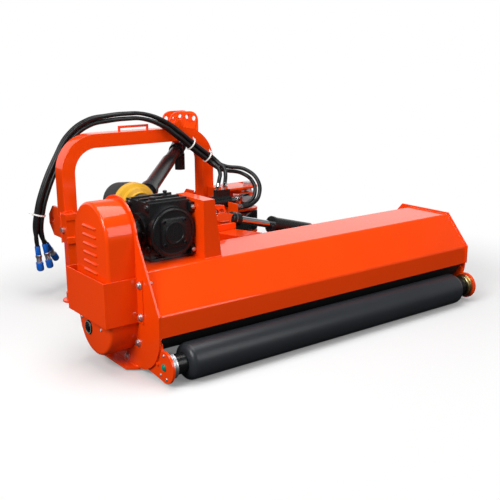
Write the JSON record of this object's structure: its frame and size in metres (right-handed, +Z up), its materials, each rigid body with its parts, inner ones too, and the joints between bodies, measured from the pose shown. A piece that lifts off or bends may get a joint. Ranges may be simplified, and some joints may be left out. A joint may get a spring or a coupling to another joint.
{
  "type": "offset flail mower",
  "caption": "Tractor-mounted offset flail mower: tilting deck with belt-driven rotor and rear roller on a side-shift arm, hitch frame with parking stand, drive shaft and hoses.",
  "frame": {"origin": "on the ground under the middle of the machine without its hoses", "axes": "+X along the deck to the end without the belt drive, +Y towards the tractor, +Z up"},
  "size_m": [1.851, 1.4435, 0.87],
  "materials": {
    "orange_paint": "gloss enamel",
    "black_paint": "satin",
    "cast_black": "painted satin black",
    "zinc": "zinc plated",
    "chrome": "hard chromed",
    "steel": "bare, dull",
    "roller_paint": "satin charcoal",
    "flap_steel": "matt black",
    "black_rubber": "matt",
    "black_plastic": "matt",
    "yellow_plastic": "satin",
    "blue_plastic": "gloss",
    "green_plastic": "gloss",
    "white_plastic": "satin"
  },
  "bodies": {
    "frame": {"a_frame": "orange_paint", "cross_beam": "orange_paint", "top_link_plates": "orange_paint", "stand_clamp": "zinc", "stand_sleeve": "orange_paint", "swing_bracket": "orange_paint", "frame_hooks": "orange_paint", "offset_barrel": "black_paint", "hose_1": "black_rubber", "hose_2": "black_rubber", "hose_3": "black_rubber", "hose_4": "black_rubber", "hose_couplers": "chrome", "dust_caps": "blue_plastic", "hose_ties": "white_plastic", "hose_fittings": "chrome"},
    "arm": {"swing_arm": "black_paint", "swing_shaft": "zinc"},
    "tie": {"tie_link": "black_paint"},
    "head": {"head": "orange_paint"},
    "deck": {"deck_shell": "orange_paint", "rear_skirt": "black_rubber", "left_end_plate": "orange_paint", "right_end_plate": "orange_paint", "roller_brackets": "orange_paint", "roller_hubs": "zinc", "roller_caps": "green_plastic", "belt_cover": "orange_paint", "belt_guard": "orange_paint", "cover_plug": "black_plastic", "deck_bolts": "zinc", "gearbox_housing": "cast_black", "gearbox_cover": "cast_black", "gearbox_fasteners": "steel", "gearbox_tower": "orange_paint", "pto_shield": "yellow_plastic", "shield_cuff": "black_rubber", "drive_belts": "black_rubber", "rotor_bearings": "steel", "flap_rod": "steel", "hinge_blocks": "orange_paint", "tilt_barrel": "black_paint"},
    "flaps": {"front_flaps": "flap_steel"},
    "rotor": {"rotor": "steel", "driven_pulley": "steel", "flail_bolts": "zinc"},
    "flail_row_1": {"flails_1": "steel"},
    "flail_row_2": {"flails_2": "steel"},
    "flail_row_3": {"flails_3": "steel"},
    "cross_shaft": {"output_shaft": "steel", "drive_pulley": "steel"},
    "middle_shaft": {"mid_shaft": "steel"},
    "input_stub": {"input_shaft": "steel"},
    "roller": {"roller": "roller_paint"},
    "tilt_ram": {"tilt_rod": "chrome"},
    "offset_ram": {"offset_rod": "chrome"},
    "stand": {"stand_leg": "orange_paint"},
    "pto_tube": {"pto_upper": "black_plastic"},
    "pto_sleeve": {"pto_lower": "black_plastic"},
    "pto_yoke": {"pto_end_yoke": "black_plastic"}
  },
  "joints": [
    {"name": "arm_swing", "type": "hinge", "parent": "frame", "child": "arm", "pos_m": [0.3695, 0.415, 0.28], "axis": [0, 0, 1], "range_deg": [0, 75]},
    {"name": "head_swivel", "type": "hinge", "parent": "arm", "child": "head", "pos_m": [-0.1675, -0.015, 0.28], "axis": [0, 0, 1], "range_deg": [-75, 0]},
    {"name": "tie_swing", "type": "hinge", "parent": "frame", "child": "tie", "pos_m": [0.2395, 0.415, 0.28], "axis": [0, 0, 1], "range_deg": [0, 75]},
    {"name": "offset_stroke", "type": "slide", "parent": "frame", "child": "offset_ram", "axis": [1, 0, 0], "range_m": [0, 0.1462]},
    {"name": "deck_tilt", "type": "hinge", "parent": "head", "child": "deck", "pos_m": [-0.1225, -0.105, 0.34], "axis": [0, -1, 0], "range_deg": [-30, 70]},
    {"name": "tilt_stroke", "type": "slide", "parent": "deck", "child": "tilt_ram", "axis": [-0.967, 0, 0.2547], "range_m": [-0.1037, 0.0445]},
    {"name": "flap_swing", "type": "hinge", "parent": "deck", "child": "flaps", "pos_m": [0.0475, -0.131, 0.202], "axis": [1, 0, 0], "range_deg": [0, 60]},
    {"name": "rotor_spin", "type": "hinge", "parent": "deck", "child": "rotor", "pos_m": [0.0475, -0.335, 0.187], "axis": [1, 0, 0], "continuous": true},
    {"name": "flail_swing_1", "type": "hinge", "parent": "rotor", "child": "flail_row_1", "pos_m": [0.0475, -0.335, 0.105], "axis": [1, 0, 0], "range_deg": [-115, 115]},
    {"name": "flail_swing_2", "type": "hinge", "parent": "rotor", "child": "flail_row_2", "pos_m": [0.0475, -0.40601, 0.228], "axis": [1, 0, 0], "range_deg": [-235, 0]},
    {"name": "flail_swing_3", "type": "hinge", "parent": "rotor", "child": "flail_row_3", "pos_m": [0.0475, -0.26399, 0.228], "axis": [1, 0, 0], "range_deg": [0, 235]},
    {"name": "cross_spin", "type": "hinge", "parent": "deck", "child": "cross_shaft", "pos_m": [-0.6075, -0.335, 0.5], "axis": [1, 0, 0], "continuous": true},
    {"name": "middle_spin", "type": "hinge", "parent": "deck", "child": "middle_shaft", "pos_m": [-0.6075, -0.335, 0.5], "axis": [0, 1, 0], "continuous": true},
    {"name": "input_spin", "type": "hinge", "parent": "deck", "child": "input_stub", "pos_m": [-0.6075, -0.335, 0.56], "axis": [0, 1, 0], "continuous": true},
    {"name": "roller_spin", "type": "hinge", "parent": "deck", "child": "roller", "pos_m": [0.0475, -0.635, 0.07], "axis": [1, 0, 0], "continuous": true},
    {"name": "stand_slide", "type": "slide", "parent": "frame", "child": "stand", "axis": [0, 0, 1], "range_m": [0, 0.23]},
    {"name": "pto_swing", "type": "hinge", "parent": "frame", "child": "pto_tube", "pos_m": [0.01698, 0.555, 0.66188], "axis": [0, 0, 1], "range_deg": [0, 20]},
    {"name": "pto_telescope", "type": "slide", "parent": "pto_tube", "child": "pto_sleeve", "axis": [0.673, 0.7228, 0.157], "range_m": [0, 0.12]},
    {"name": "pto_fold", "type": "hinge", "parent": "pto_tube", "child": "pto_yoke", "pos_m": [0.0775, 0.62, 0.676], "axis": [-0.7319, 0.6814, 0], "range_deg": [-70, 20]}
  ],
  "couplings": [
    {"joint": "head_swivel", "follows": "arm_swing", "ratio": -1},
    {"joint": "tie_swing", "follows": "arm_swing", "ratio": 1},
    {"joint": "offset_stroke", "follows": "arm_swing", "m_per_rad": 0.11138},
    {"joint": "tilt_stroke", "follows": "deck_tilt", "m_per_rad": -0.084798},
    {"joint": "cross_spin", "follows": "rotor_spin", "ratio": 1},
    {"joint": "middle_spin", "follows": "rotor_spin", "ratio": -1},
    {"joint": "input_spin", "follows": "rotor_spin", "ratio": 1}
  ]
}
